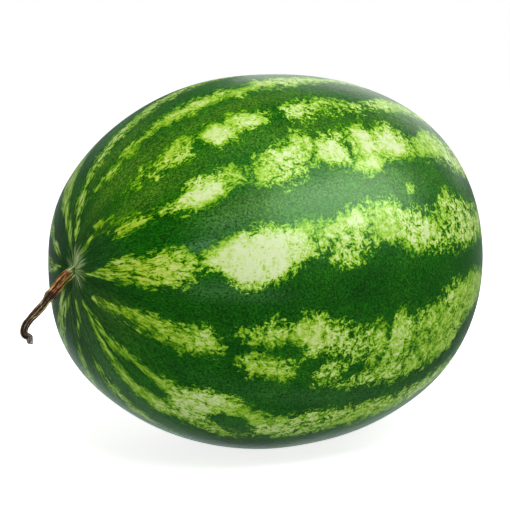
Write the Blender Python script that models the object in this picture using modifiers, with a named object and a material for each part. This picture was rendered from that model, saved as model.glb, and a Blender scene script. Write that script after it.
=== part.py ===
"""A whole striped watermelon, lying on its side on a small flat spot, with its dried stalk.

Metres, +Z up. The fruit's long axis lies along X, the stalk leaves its -X end and the old
flower's scar is at its +X end. The origin is on the surface that the fruit rests on, straight
below the middle of its length. The fruit is one solid, because it grew as one piece, and the
dried stalk is a second.
"""

import math

import bpy
import bmesh
import numpy as np
from mathutils import Matrix, Vector

# Driving dimensions of the fruit.
HALF_LENGTH = 0.1525  # half of the long axis
GIRTH_RADIUS = 0.1262  # radius at the middle of the length
BLUNTNESS = 2.19  # 2 is an ellipse, and more makes the ends blunter
BLOSSOM_SWELL = 0.038  # how much fatter the blossom end is, as a share of the radius
CENTRE_HEIGHT = 0.1248  # from the rest surface up to the long axis, a little under the radius

# A shallow dip with a flat floor at each end: the stalk's seat, and the old flower's scar.
STALK_SEAT = {"floor": 0.0060, "rim": 0.0160, "depth": 0.0016}
BLOSSOM_SCAR = {"floor": 0.0045, "rim": 0.0110, "depth": 0.0011}

# How finely the fruit is faceted.
STEPS_ROUND = 64
RINGS_ALONG = 26
RINGS_IN_DIP = 4

# The stalk left the fruit a little above its long axis: the end is drawn up by this much.
SEAT_RISE = 0.0060
SEAT_RISE_REACH = 0.100

# Low spots where growth was uneven: the place, measured from the middle of the fruit, how far
# the skin lies below the even shape there, and the reach. A negative depth is a swelling.
LOW_SPOTS = [
    ((0.027, -0.006, 0.125), 0.0020, 0.100),
    ((-0.093, 0.043, 0.092), 0.0010, 0.100),
    ((-0.101, 0.016, -0.095), 0.0012, 0.100),
    ((0.061, -0.061, -0.103), 0.0012, 0.100),
    ((0.119, -0.087, -0.002), 0.0024, 0.100),
    ((-0.139, 0.057, 0.003), 0.0017, 0.055),
    ((-0.127, 0.041, -0.060), -0.0017, 0.055),
]

# The stalk: places on its centre line and its radius there. It starts inside the fruit, and is
# cut off flat at the seat. A thicker knot is a third of the way down, and the end is hooked.
STALK_ROUTE = [
    (-0.1470, 0.0000, 0.1329, 0.0034),
    (-0.1515, 0.0000, 0.1306, 0.0036),
    (-0.1555, 0.0000, 0.1277, 0.0034),
    (-0.1595, 0.0000, 0.1244, 0.0032),
    (-0.1634, 0.0000, 0.1206, 0.0030),
    (-0.1672, 0.0000, 0.1169, 0.0031),
    (-0.1702, 0.0000, 0.1138, 0.0026),
    (-0.1741, 0.0000, 0.1098, 0.0026),
    (-0.1780, 0.0000, 0.1065, 0.0026),
    (-0.1814, 0.0000, 0.1036, 0.0023),
    (-0.1841, 0.0000, 0.1007, 0.0023),
    (-0.1856, -0.0004, 0.0979, 0.0022),
    (-0.1861, -0.0012, 0.0956, 0.0022),
    (-0.1857, -0.0022, 0.0943, 0.0021),
    (-0.1844, -0.0032, 0.0938, 0.0019),
    (-0.1842, -0.0042, 0.0925, 0.0019),
    (-0.1845, -0.0049, 0.0910, 0.0018),
    (-0.1851, -0.0053, 0.0898, 0.0016),
]
STALK_FACETS = 4  # the curve's bevel resolution, which gives 12 sides
STALK_STEPS = 3  # pieces of the curve between two places on the route

# Pieces that touch keep this gap.
GAP = 0.0003

# Half size of the blocks that cut flats, and how far a cut piece is smooth before it is sharp.
CUTTER_HALF = 0.200
SHARP_ANGLE = math.radians(35)


def clear_scene():
    for old in list(bpy.data.objects):
        bpy.data.objects.remove(old, do_unlink=True)


def new_collection(name):
    collection = bpy.data.collections.new(name)
    bpy.context.scene.collection.children.link(collection)
    return collection


def new_material(name, colour, roughness):
    material = bpy.data.materials.new(name)
    material.use_nodes = True
    shader = material.node_tree.nodes["Principled BSDF"]
    shader.inputs["Base Color"].default_value = (*colour, 1.0)
    shader.inputs["Roughness"].default_value = roughness
    shader.inputs["Metallic"].default_value = 0.0
    return material


def new_object(name, data, collection, material=None):
    obj = bpy.data.objects.new(name, data)
    collection.objects.link(obj)
    if material:
        data.materials.append(material)
    return obj


def baked_mesh(obj, name):
    """The object's shape with its modifiers done, as a mesh in world space with no doubles."""
    bpy.context.view_layer.update()
    graph = bpy.context.evaluated_depsgraph_get()
    mesh = bpy.data.meshes.new_from_object(obj.evaluated_get(graph))
    mesh.transform(obj.matrix_world)
    mesh.name = name
    bm = bmesh.new()
    bm.from_mesh(mesh)
    bmesh.ops.remove_doubles(bm, verts=bm.verts, dist=0.00001)
    bm.to_mesh(mesh)
    bm.free()
    return mesh


def smooth_falloff(distance, reach):
    """1 at the middle and 0 at the reach, with no corner at either end."""
    nearness = np.clip(1.0 - distance / reach, 0.0, 1.0)
    return nearness**2 * (3.0 - 2.0 * nearness)


# ---- The fruit's profile -------------------------------------------------------------------


def end_radius(side):
    """The girth radius that the outline heads for at one end: +1 blossom, -1 stalk."""
    return GIRTH_RADIUS * (1.0 + side * BLOSSOM_SWELL)


def end_outline(side, radius):
    """How far along the axis the even skin is, at a small radius near one end."""
    share = min(radius / end_radius(side), 1.0)
    return side * HALF_LENGTH * (1.0 - share**BLUNTNESS) ** (1.0 / BLUNTNESS)


def end_dip(side, dip):
    """Profile points of one end, from the axis outwards: a flat floor and a soft rim."""
    points = [(0.0, end_outline(side, dip["floor"]) - side * dip["depth"])]
    for step in range(RINGS_IN_DIP + 1):
        share = step / RINGS_IN_DIP
        radius = dip["floor"] + share * (dip["rim"] - dip["floor"])
        depth = dip["depth"] * smooth_falloff(share, 1.0)
        points.append((radius, end_outline(side, radius) - side * depth))
    return points


def flank(turn):
    """A profile point on the long side, for a turn of -90 degrees (stalk) to 90 (blossom)."""
    along = HALF_LENGTH * math.copysign(abs(math.sin(turn)) ** (2.0 / BLUNTNESS), turn)
    swell = 1.0 + BLOSSOM_SWELL * along / HALF_LENGTH
    return GIRTH_RADIUS * math.cos(turn) ** (2.0 / BLUNTNESS) * swell, along


def flank_limit(side, dip):
    """The turn at which the long side reaches the rim of a dip, found by halving."""
    low, high = 0.0, math.pi / 2
    for _ in range(40):
        middle = (low + high) / 2
        if flank(side * middle)[0] > dip["rim"]:
            low = middle
        else:
            high = middle
    return side * low


def fruit_profile():
    """(radius, place along the axis), from the blossom end down to the stalk end."""
    first = flank_limit(1, BLOSSOM_SCAR)
    last = flank_limit(-1, STALK_SEAT)
    turns = [first + (last - first) * step / RINGS_ALONG for step in range(1, RINGS_ALONG)]
    return end_dip(1, BLOSSOM_SCAR) + [flank(turn) for turn in turns] + end_dip(-1, STALK_SEAT)[::-1]


# ---- The fruit -----------------------------------------------------------------------------


def turned_fruit(collection):
    """The profile turned about its axis, laid along X and lifted to its height."""
    mesh = bpy.data.meshes.new("fruit_profile")
    points = [(radius, 0.0, along) for radius, along in fruit_profile()]
    mesh.from_pydata(points, [(k, k + 1) for k in range(len(points) - 1)], [])
    profile = new_object("fruit_profile", mesh, collection)
    profile.rotation_euler = (0.0, math.radians(90), 0.0)
    profile.location = (0.0, 0.0, CENTRE_HEIGHT)
    screw = profile.modifiers.new("turn", "SCREW")
    screw.axis = "Z"
    screw.angle = math.radians(360)
    screw.steps = STEPS_ROUND
    screw.render_steps = STEPS_ROUND
    screw.use_merge_vertices = True
    screw.merge_threshold = 0.00002
    turned = baked_mesh(profile, "fruit")
    bpy.data.objects.remove(profile, do_unlink=True)
    return turned


def grow_unevenly(mesh):
    """Draws the stalk end up, and lowers the low spots towards the middle of the fruit."""
    middle = np.array([0.0, 0.0, CENTRE_HEIGHT])
    points = np.empty(len(mesh.vertices) * 3)
    mesh.vertices.foreach_get("co", points)
    points = points.reshape(-1, 3) - middle
    from_end = np.linalg.norm(points - [-HALF_LENGTH, 0.0, 0.0], axis=1)
    rise = SEAT_RISE * smooth_falloff(from_end, SEAT_RISE_REACH)
    moved = points + rise[:, None] * np.array([0.0, 0.0, 1.0])
    sizes = np.array([HALF_LENGTH, GIRTH_RADIUS, GIRTH_RADIUS])
    for place, depth, reach in LOW_SPOTS:
        outward = np.array(place) / sizes**2
        outward /= np.linalg.norm(outward)
        near = smooth_falloff(np.linalg.norm(points - place, axis=1), reach)
        moved -= depth * near[:, None] * outward
    mesh.vertices.foreach_set("co", (moved + middle).ravel())
    mesh.update()


def block_cutter(name, middle, collection):
    """A large cube that a Boolean takes away, kept out of the render."""
    mesh = bpy.data.meshes.new(name)
    bm = bmesh.new()
    bmesh.ops.create_cube(bm, size=2 * CUTTER_HALF, matrix=Matrix.Translation(Vector(middle)))
    bm.to_mesh(mesh)
    bm.free()
    cutter = new_object(name, mesh, collection)
    cutter.hide_render = True
    cutter.display_type = "WIRE"
    return cutter


def cut_away(obj, cutter):
    boolean = obj.modifiers.new(cutter.name, "BOOLEAN")
    boolean.operation = "DIFFERENCE"
    boolean.solver = "EXACT"
    boolean.object = cutter


def shade_round(mesh):
    mesh.shade_smooth()
    mesh.set_sharp_from_angle(angle=SHARP_ANGLE)


def make_fruit(collection, cutters):
    """The whole fruit. The block below it cuts the small flat spot that it rests on."""
    mesh = turned_fruit(collection)
    grow_unevenly(mesh)
    shade_round(mesh)
    rind = new_material("rind", (0.045, 0.140, 0.030), 0.38)
    fruit = new_object("fruit", mesh, collection, rind)
    cut_away(fruit, block_cutter("rest_cutter", (0.0, 0.0, -CUTTER_HALF), cutters))
    return fruit


# ---- The stalk -----------------------------------------------------------------------------


def make_stalk(collection, cutters):
    """The dried stalk: a tapering tube on its route, cut flat where it sits on the fruit."""
    curve = bpy.data.curves.new("stem_route", "CURVE")
    curve.dimensions = "3D"
    curve.resolution_u = STALK_STEPS
    curve.bevel_depth = 1.0
    curve.bevel_resolution = STALK_FACETS
    curve.use_fill_caps = True
    spline = curve.splines.new("BEZIER")
    spline.bezier_points.add(len(STALK_ROUTE) - 1)
    for point, (x, y, z, radius) in zip(spline.bezier_points, STALK_ROUTE):
        point.co = (x, y, z)
        point.radius = radius
        point.handle_left_type = "AUTO"
        point.handle_right_type = "AUTO"
    route = new_object("stem_route", curve, collection)
    mesh = baked_mesh(route, "stem")
    bpy.data.objects.remove(route, do_unlink=True)
    shade_round(mesh)
    dried = new_material("dried_stalk", (0.190, 0.105, 0.045), 0.75)
    mesh.materials.clear()
    stalk = new_object("stem", mesh, collection, dried)
    seat_floor = end_outline(-1, STALK_SEAT["floor"]) + STALK_SEAT["depth"]
    seat_block = (seat_floor - GAP + CUTTER_HALF, 0.0, CENTRE_HEIGHT)
    cut_away(stalk, block_cutter("seat_cutter", seat_block, cutters))
    return stalk


def main():
    clear_scene()
    collection = new_collection("watermelon")
    cutters = new_collection("cutters")
    make_fruit(collection, cutters)
    make_stalk(collection, cutters)


main()
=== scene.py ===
# %% [markdown]
# # A watermelon on its side
#
# The frame holds two solids: the fruit, and the dried stalk that it hung from. This lesson gives
# both their looks. The fruit is turned from half an outline, its stripes are laid out in the
# fruit's own coordinates, and the stalk is a ridged tube bent along its route.

# %% Load the frame
import math
import bpy
import numpy as np
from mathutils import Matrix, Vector, noise


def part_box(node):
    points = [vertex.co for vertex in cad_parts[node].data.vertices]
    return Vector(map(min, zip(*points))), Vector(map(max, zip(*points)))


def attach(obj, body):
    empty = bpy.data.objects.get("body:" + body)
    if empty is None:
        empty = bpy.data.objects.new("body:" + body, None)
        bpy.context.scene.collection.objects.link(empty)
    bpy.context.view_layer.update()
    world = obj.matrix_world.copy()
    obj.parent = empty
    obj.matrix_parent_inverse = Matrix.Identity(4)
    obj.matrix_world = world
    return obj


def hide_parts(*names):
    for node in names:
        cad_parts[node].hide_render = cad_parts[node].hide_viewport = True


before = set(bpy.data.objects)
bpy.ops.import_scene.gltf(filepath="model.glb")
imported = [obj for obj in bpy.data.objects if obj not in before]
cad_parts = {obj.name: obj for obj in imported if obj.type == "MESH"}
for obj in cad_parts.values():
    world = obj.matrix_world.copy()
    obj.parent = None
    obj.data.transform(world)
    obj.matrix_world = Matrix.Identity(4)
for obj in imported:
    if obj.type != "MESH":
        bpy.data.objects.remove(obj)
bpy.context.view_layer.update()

fruit_low, fruit_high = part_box("fruit")
stem_low, stem_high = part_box("stem")
print("stem box", [round(v, 4) for v in (*stem_low, *stem_high)])

# %% [markdown]
# ## Sizes
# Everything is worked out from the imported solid's box. The fruit rests on a small flat spot, so
# its long axis is a little lower than its radius, and its two ends are dipped, so half its box is
# a little shorter than half its outline.

# %% Sizes of the fruit
END_DIP = 0.0006  # how much the dips at the ends shorten half the length
REST_CUT = 0.0015  # how deep the flat resting spot cuts in
BLUNTNESS = 2.19  # 2 is an ellipse, and more makes blunter ends
BLOSSOM_SWELL = 0.038  # the far end is this much fatter
HALF_LENGTH = (fruit_high.x - fruit_low.x) / 2 + END_DIP
GIRTH = (fruit_high.y - fruit_low.y) / 2
AXIS_HEIGHT = GIRTH - REST_CUT
print("half length", round(HALF_LENGTH, 4), "girth radius", round(GIRTH, 4))

# %% [markdown]
# ## A soft falloff
# Nothing on a grown thing ends at a sharp line, so one small function comes up again and again: it
# is 1 in the middle of something, 0 outside its reach, and level at both ends.

# %% A soft falloff
def falloff(distance, reach):
    """1 at the middle and 0 from the reach outwards, with no corner at either end."""
    nearness = np.clip(1.0 - np.asarray(distance) / reach, 0.0, 1.0)
    return nearness**2 * (3.0 - 2.0 * nearness)


print("falloff at a quarter, a half and three quarters", falloff([0.25, 0.5, 0.75], 1.0))

# %% [markdown]
# ## The fruit's outline
# A melon grows evenly round its axis, so it can be turned: half an outline is drawn from the
# stalk's seat to the old flower's scar, and spun. The outline is a superellipse, which is an
# ellipse with blunter ends. The points crowd together at the seat, because the ridges that the
# stalk leaves there are small.

# %% The half outline
SEAT = {"floor": 0.0060, "rim": 0.0160, "depth": 0.0016}
SCAR = {"floor": 0.0045, "rim": 0.0110, "depth": 0.0011}


def end_outline(side, radius):
    """How far along the axis the skin is at a small radius: side -1 is the stalk's end."""
    share = radius / (GIRTH * (1.0 + side * BLOSSOM_SWELL))
    return side * HALF_LENGTH * (1.0 - share**BLUNTNESS) ** (1.0 / BLUNTNESS)


def dipped_end(side, dip, radii):
    """Outline points near one end, from the axis outwards."""
    points = []
    for radius in radii:
        flat = max(radius, dip["floor"])
        depth = dip["depth"] * float(falloff(flat - dip["floor"], dip["rim"] - dip["floor"]))
        points.append((end_outline(side, flat) - side * depth, radius))
    return points


def flank(turn):
    along = HALF_LENGTH * math.copysign(abs(math.sin(turn)) ** (2.0 / BLUNTNESS), turn)
    swell = 1.0 + BLOSSOM_SWELL * along / HALF_LENGTH
    return along, GIRTH * math.cos(turn) ** (2.0 / BLUNTNESS) * swell


seat_radii = [0.0, 0.002, 0.004, 0.006, 0.007, 0.008, 0.0095, 0.011, 0.013, 0.016, 0.019]
scar_radii = [0.0, 0.0015, 0.003, 0.0045, 0.006, 0.008, 0.011]
turns = np.radians(np.concatenate([np.linspace(-80.5, -66, 5), np.linspace(-61, 80.5, 32)]))
outline = dipped_end(-1, SEAT, seat_radii)
outline += [flank(turn) for turn in turns]
outline += dipped_end(1, SCAR, scar_radii)[::-1]
print("outline points", len(outline))

# %% [markdown]
# ## Working with the selection
# Blender's operators act on whatever is selected, and the frame arrives with its solids selected.
# These helpers clear the selection first, make one piece the active one, and apply a modifier to
# it, which makes the modifier's result the piece's own mesh.

# %% Selection helpers
def deselect_all():
    """Nothing stays selected, so that the next operator only acts on what it is given."""
    if bpy.context.mode != "OBJECT":
        bpy.ops.object.mode_set(mode="OBJECT")
    bpy.ops.object.select_all(action="DESELECT")


def make_active(piece):
    deselect_all()
    piece.select_set(True)
    bpy.context.view_layer.objects.active = piece


def apply_modifier(piece, kind, name, **settings):
    """Adds a modifier, gives it its settings and applies it to the mesh."""
    make_active(piece)
    modifier = piece.modifiers.new(name, kind)
    for key, value in settings.items():
        setattr(modifier, key, value)
    bpy.ops.object.modifier_apply(modifier=name)


# %% [markdown]
# ## Turning the fruit
# A plane is merged into a single vertex at the first point of the outline. In edit mode that
# vertex is extruded from point to point, which draws the chain. The whole chain is then selected
# and spun once round the long axis. The first and last rows lie on each other, and so do all the
# points on the axis, so doubles are merged and the faces are turned outwards. Two levels of
# subdivision round the coarse cage off.

# %% Draw the outline and spin it
SPIN_STEPS = 64
chain = [Vector((along, 0.0, AXIS_HEIGHT + radius)) for along, radius in outline]
deselect_all()
bpy.ops.mesh.primitive_plane_add(size=0.01, location=(0, 0, 0))
rind = bpy.context.object
rind.name = "rind"
bpy.ops.object.mode_set(mode="EDIT")
bpy.ops.mesh.select_all(action="SELECT")
bpy.ops.mesh.merge(type="CENTER")
bpy.ops.transform.translate(value=chain[0])
for here, following in zip(chain, chain[1:]):
    bpy.ops.mesh.extrude_region_move(TRANSFORM_OT_translate={"value": following - here})
bpy.ops.mesh.select_all(action="SELECT")
axis_point = (0.0, 0.0, AXIS_HEIGHT)
bpy.ops.mesh.spin(steps=SPIN_STEPS, angle=math.tau, center=axis_point, axis=(1, 0, 0))
bpy.ops.mesh.select_all(action="SELECT")
bpy.ops.mesh.remove_doubles(threshold=0.00002)
bpy.ops.mesh.normals_make_consistent(inside=False)
bpy.ops.object.mode_set(mode="OBJECT")
apply_modifier(rind, "SUBSURF", "round_off", levels=2, render_levels=2)
print("rind faces", len(rind.data.polygons))

# %% [markdown]
# ## Points and attributes
# A mesh's points are read into one table of numbers, worked on all together and written back. An
# attribute is a number or a vector that is stored on each vertex, for a material to read.

# %% Read and write a mesh's points
def read_points(mesh):
    points = np.empty(len(mesh.vertices) * 3)
    mesh.vertices.foreach_get("co", points)
    return points.reshape(-1, 3)


def write_points(mesh, points):
    mesh.vertices.foreach_set("co", np.asarray(points).ravel())
    mesh.update()


def write_attribute(mesh, name, values):
    """Stores one number or one vector a vertex, for the material to read."""
    values = np.asarray(values, np.float32)
    kind, field = ("FLOAT", "value") if values.ndim == 1 else ("FLOAT_VECTOR", "vector")
    attribute = mesh.attributes.new(name, kind, "POINT")
    attribute.data.foreach_set(field, values.ravel())


print("points on the rind", len(read_points(rind.data)))

# %% [markdown]
# ## Coordinates on the skin
# Stripes follow the fruit, not the world. Each vertex gets two numbers: how far it is along the
# skin from the stalk (0) to the flower's scar (1), and its angle round the axis in degrees, 0 at
# the top, 90 at the side that faces -Y and 180 underneath. They are taken before the fruit is
# pushed out of round, while they are still easy to work out.

# %% Work out place along and angle round
POLE_TURN = 1.5707  # just short of a quarter turn, so that the outline still has some width there
points = read_points(rind.data) - [0.0, 0.0, AXIS_HEIGHT]
across = np.hypot(points[:, 1], points[:, 2])
round_deg = np.degrees(np.arctan2(-points[:, 1], points[:, 2])) % 360
power = BLUNTNESS / 2
swell = 1.0 + BLOSSOM_SWELL * points[:, 0] / HALF_LENGTH
sine = np.sign(points[:, 0]) * np.clip(abs(points[:, 0]) / HALF_LENGTH, 0, 1) ** power
cosine = (across / (GIRTH * swell)) ** power
turn = np.arctan2(sine, cosine)
fine_turns = np.linspace(-math.pi / 2, math.pi / 2, 2001)
fine = np.array([flank(max(min(t, POLE_TURN), -POLE_TURN)) for t in fine_turns])
steps = np.hypot(*np.diff(fine, axis=0).T)
lengths = np.concatenate([[0.0], np.cumsum(steps)])
SKIN_LENGTH = lengths[-1]
along = np.interp(turn, fine_turns, lengths) / SKIN_LENGTH
print("skin length", round(float(SKIN_LENGTH), 4))

# %% [markdown]
# ## The stripes
# A stripe is a list of stations. Each station says where it is along the skin, the two angles
# that the stripe lies between there, and how light it is. Between stations the numbers are
# interpolated. The result is a soft field: above a half is stripe, below is dark ground. The
# jagged edge comes later, from noise in the material.
#
# Over the top the stripes are narrow and broken, and only the two nearest the back run on whole.

# %% Stripes over the top
# Each row is (place along, from degrees, to degrees, lightness).
STRIPES = {
    "far_crown": [
        (0.03, -6, 6, 0.6), (0.05, -16, -3, 0.95), (0.065, -21, -7, 1.0), (0.08, -26, -14, 0.95),
        (0.10, -32, -18, 1.0), (0.12, -35, -20, 1.1), (0.15, -38, -22, 1.1), (0.20, -38, -24, 1.0),
        (0.25, -37, -25, 0.9), (0.50, -36, -24, 1.0), (0.75, -35, -24, 1.0), (0.90, -34, -24, 0.8),
        (0.97, -34, -26, 0.3),
    ],
    "crown": [
        (0.045, 8, 15, 0.5), (0.055, 3, 14, 0.9), (0.07, -1, 11, 1.0), (0.09, -5, 8, 1.0),
        (0.12, -7, 4, 0.95), (0.135, -7, 0, 0.8), (0.15, -8, 0, 0.95), (0.17, -9, 1, 1.05),
        (0.20, -10, -1, 1.0), (0.25, -9, -1, 0.95), (0.30, -9, -1, 0.95), (0.45, -9, -2, 1.0),
        (0.70, -8, 0, 1.0), (0.90, -7, 0, 0.8), (0.97, -6, -1, 0.3),
    ],
    "upper_thin": [
        (0.11, 9, 14, 0.4), (0.125, 8, 14, 0.75), (0.15, 9, 17, 0.85), (0.17, 10, 18, 0.92),
        (0.185, 10, 16, 0.7), (0.20, 9, 18, 0.92), (0.22, 8.5, 14, 0.8), (0.25, 9, 16, 0.85),
        (0.28, 9, 16, 0.98), (0.30, 9, 18, 1.0), (0.33, 10, 18, 1.0), (0.35, 10, 19, 0.9),
        (0.365, 10, 17, 0.85), (0.38, 12, 21, 0.95), (0.395, 13, 20, 0.75), (0.405, 11, 20, 0.8),
        (0.43, 9, 19, 1.0), (0.46, 9, 19, 1.05), (0.50, 9, 18, 1.0), (0.53, 9, 17, 0.9),
        (0.60, 8, 16, 1.0), (0.80, 8, 16, 0.95), (0.92, 8, 15, 0.7), (0.97, 9, 14, 0.3),
    ],
    "upper_near_stalk": [
        (0.035, 36, 46, 0.6), (0.05, 37, 48, 0.85), (0.065, 33, 43, 0.85), (0.075, 33, 42, 0.6),
        (0.085, 31, 43, 0.8), (0.10, 33, 44, 0.8), (0.115, 37, 44, 0.75), (0.125, 38, 42, 0.4),
    ],
    "upper": [
        (0.13, 29, 36, 0.4), (0.15, 27, 37, 0.62), (0.175, 27, 37, 0.62), (0.19, 25, 36, 0.75),
        (0.20, 26, 39, 0.8), (0.215, 27, 38, 0.74), (0.225, 28, 37, 0.88), (0.25, 25, 37, 0.92),
        (0.265, 26, 36, 0.88), (0.275, 28, 33, 0.5), (0.285, 28, 33, 0.8), (0.293, 27, 38, 1.0),
        (0.31, 27, 38, 1.1), (0.325, 29, 38, 1.0), (0.335, 26, 37, 0.9), (0.345, 26.5, 37, 0.95),
        (0.36, 28, 37, 1.0), (0.38, 29, 36, 0.9), (0.392, 29, 34, 0.6), (0.402, 30, 34, 0.25),
        (0.415, 29, 38, 0.85), (0.43, 28, 38, 1.0), (0.45, 28, 36, 0.95), (0.475, 27, 37, 0.85),
        (0.50, 29, 36, 0.85), (0.515, 28, 35, 0.85), (0.525, 29, 38, 0.72), (0.54, 30, 38, 0.7),
        (0.555, 30, 35, 0.4), (0.57, 29, 35, 0.85), (0.59, 28, 36, 0.95), (0.61, 26, 35, 0.9),
        (0.65, 24, 34, 0.82), (0.75, 25, 35, 0.9), (0.90, 26, 34, 0.8), (0.97, 27, 33, 0.3),
    ],
}
print("stripes over the top", len(STRIPES))

# %% [markdown]
# The two stripes on the side are the boldest. The main one has a gap near the stalk, and just past
# it a wide cream patch, which is the lightest place on the fruit.

# %% Stripes on the side
STRIPES |= {
    "high_side": [
        (0.095, 44, 56, 0.3), (0.105, 45, 57, 0.5), (0.115, 45, 58, 0.8), (0.13, 45, 57, 0.95),
        (0.15, 45, 57, 1.0), (0.157, 48, 56, 0.85), (0.17, 49.5, 56.5, 0.7), (0.19, 49.5, 57, 0.7),
        (0.205, 50, 57, 0.85), (0.215, 50, 59, 1.05), (0.235, 47, 58, 1.3), (0.25, 46, 57, 1.2),
        (0.27, 47, 57, 1.1), (0.28, 46, 55, 0.8), (0.295, 45, 55, 0.85), (0.307, 47, 56, 0.6),
        (0.32, 48, 57, 0.7), (0.335, 46, 59, 0.85), (0.35, 46, 59, 0.85), (0.358, 43.5, 59, 0.88),
        (0.375, 44, 58, 0.98), (0.39, 44, 57, 0.85), (0.40, 40, 54, 0.85), (0.415, 41, 54, 0.85),
        (0.43, 43, 54, 0.95), (0.447, 43, 56, 1.06), (0.465, 43, 56, 1.0), (0.475, 41, 58, 0.75),
        (0.49, 41, 59, 0.95), (0.505, 40, 58, 1.05), (0.52, 41, 57, 1.0), (0.53, 43, 55, 0.85),
        (0.55, 41, 54.5, 1.1), (0.57, 41, 54.5, 1.1), (0.585, 44, 55, 0.9), (0.60, 45, 55, 0.75),
        (0.62, 44, 54, 0.85), (0.65, 40, 53, 0.95), (0.70, 41, 56, 1.0), (0.80, 43, 56, 1.0),
        (0.92, 44, 54, 0.8), (0.97, 45, 52, 0.3),
    ],
    "main": [
        (0.030, 84, 92, 0.5), (0.045, 84, 92, 0.9), (0.06, 81, 91, 0.95), (0.075, 79, 90, 0.9),
        (0.085, 72, 91, 0.95), (0.10, 71, 91, 1.08), (0.12, 71, 90, 1.14), (0.15, 71.5, 91, 1.14),
        (0.165, 71.5, 89.5, 1.1), (0.18, 70, 89, 1.12), (0.20, 71, 88.5, 1.05), (0.21, 73, 88, 0.8),
        (0.216, 74.5, 84, 0.5), (0.225, 75, 82, 0.8), (0.235, 73, 82, 1.0), (0.25, 72, 85, 1.35),
        (0.265, 71, 88, 1.42), (0.28, 70.5, 88.5, 1.5), (0.30, 70, 88, 1.52),
        (0.32, 70, 87.5, 1.52), (0.335, 71, 85, 1.5), (0.35, 71, 82.5, 1.45),
        (0.365, 70.5, 81, 1.25), (0.38, 69, 79.5, 0.85), (0.395, 70, 80, 0.82),
        (0.405, 70, 84, 0.82), (0.42, 68, 84.5, 1.0), (0.44, 68, 84, 1.08),
        (0.455, 67.5, 81.5, 1.0), (0.47, 67, 79.5, 0.9), (0.49, 66, 79, 0.95),
        (0.51, 66, 80.5, 0.85), (0.525, 66.5, 81, 0.85), (0.535, 70, 82, 0.95),
        (0.55, 69, 82.5, 1.05), (0.575, 69.5, 82, 1.0), (0.59, 70, 82, 0.95),
        (0.605, 69, 82.5, 0.85), (0.62, 63.5, 83, 0.9), (0.64, 63.5, 82.5, 0.95),
        (0.66, 66, 82, 0.95), (0.69, 68, 82, 0.95), (0.72, 67, 80, 0.95), (0.80, 68, 80, 1.0),
        (0.92, 69, 79, 0.8), (0.97, 70, 77, 0.3),
    ],
}
print("stripes so far", len(STRIPES))

# %% [markdown]
# Below the middle one stripe splits into two strands, which part round dark holes and join again.

# %% Stripes below the middle
STRIPES |= {
    "low_upper_strand": [
        (0.255, 105, 108, 0.3), (0.27, 103, 107, 0.7), (0.285, 102.5, 107, 0.8),
        (0.30, 102, 110, 0.75), (0.315, 100, 109, 0.9), (0.33, 98.5, 108, 0.9),
        (0.345, 100, 108, 0.85), (0.36, 97, 107, 0.92), (0.37, 96.5, 112, 0.92),
        (0.385, 96.5, 112, 0.95), (0.40, 99, 110, 0.92), (0.415, 100.5, 109, 0.95),
        (0.43, 101, 112, 0.85), (0.445, 102, 113, 0.8), (0.46, 103, 114, 0.75),
        (0.47, 100, 116, 0.75), (0.49, 101, 120, 0.7), (0.50, 104, 122, 0.75),
        (0.51, 98, 123, 0.85), (0.53, 98, 123, 0.8), (0.545, 101, 123, 0.7), (0.56, 97, 122, 0.7),
        (0.58, 97, 121, 0.75), (0.60, 94.5, 120, 0.72), (0.62, 93, 119, 0.76),
        (0.65, 92, 117, 0.82), (0.67, 92, 111, 0.8), (0.70, 90, 107, 0.85), (0.73, 91, 105, 0.85),
        (0.82, 93, 106, 0.9), (0.92, 95, 105, 0.8), (0.97, 97, 103, 0.3),
    ],
    "low_lower_strand": [
        (0.27, 112, 116, 0.4), (0.285, 112, 118, 0.75), (0.30, 110.5, 121, 0.82),
        (0.33, 111, 120.5, 0.85), (0.35, 112.5, 121.5, 0.8), (0.365, 113, 119, 0.7),
        (0.373, 114, 117, 0.3), (0.385, 117, 120, 0.4), (0.40, 113, 121.5, 0.75),
        (0.42, 112, 121, 0.85), (0.45, 112, 122.5, 0.8), (0.48, 115, 122.5, 0.85),
        (0.51, 112, 122.5, 0.85),
    ],
    "low_near_stalk": [
        (0.055, 117, 125, 0.7), (0.07, 114, 123, 1.0), (0.085, 110, 120, 1.05),
        (0.10, 107.5, 117.5, 1.05), (0.12, 106, 115.5, 1.05), (0.135, 104.5, 114.5, 1.05),
        (0.15, 104, 116.5, 0.98), (0.18, 105, 118, 0.92), (0.195, 105.5, 118.5, 0.92),
        (0.21, 104, 118, 0.95), (0.225, 103.5, 117, 0.95), (0.235, 104, 116, 0.8),
        (0.242, 107, 116, 0.75), (0.255, 108, 115, 0.75), (0.265, 108, 111, 0.3),
    ],
}
print("stripes so far", len(STRIPES))

# %% [markdown]
# Underneath, the strands start close together at the stalk and drift apart along the fruit.

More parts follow.
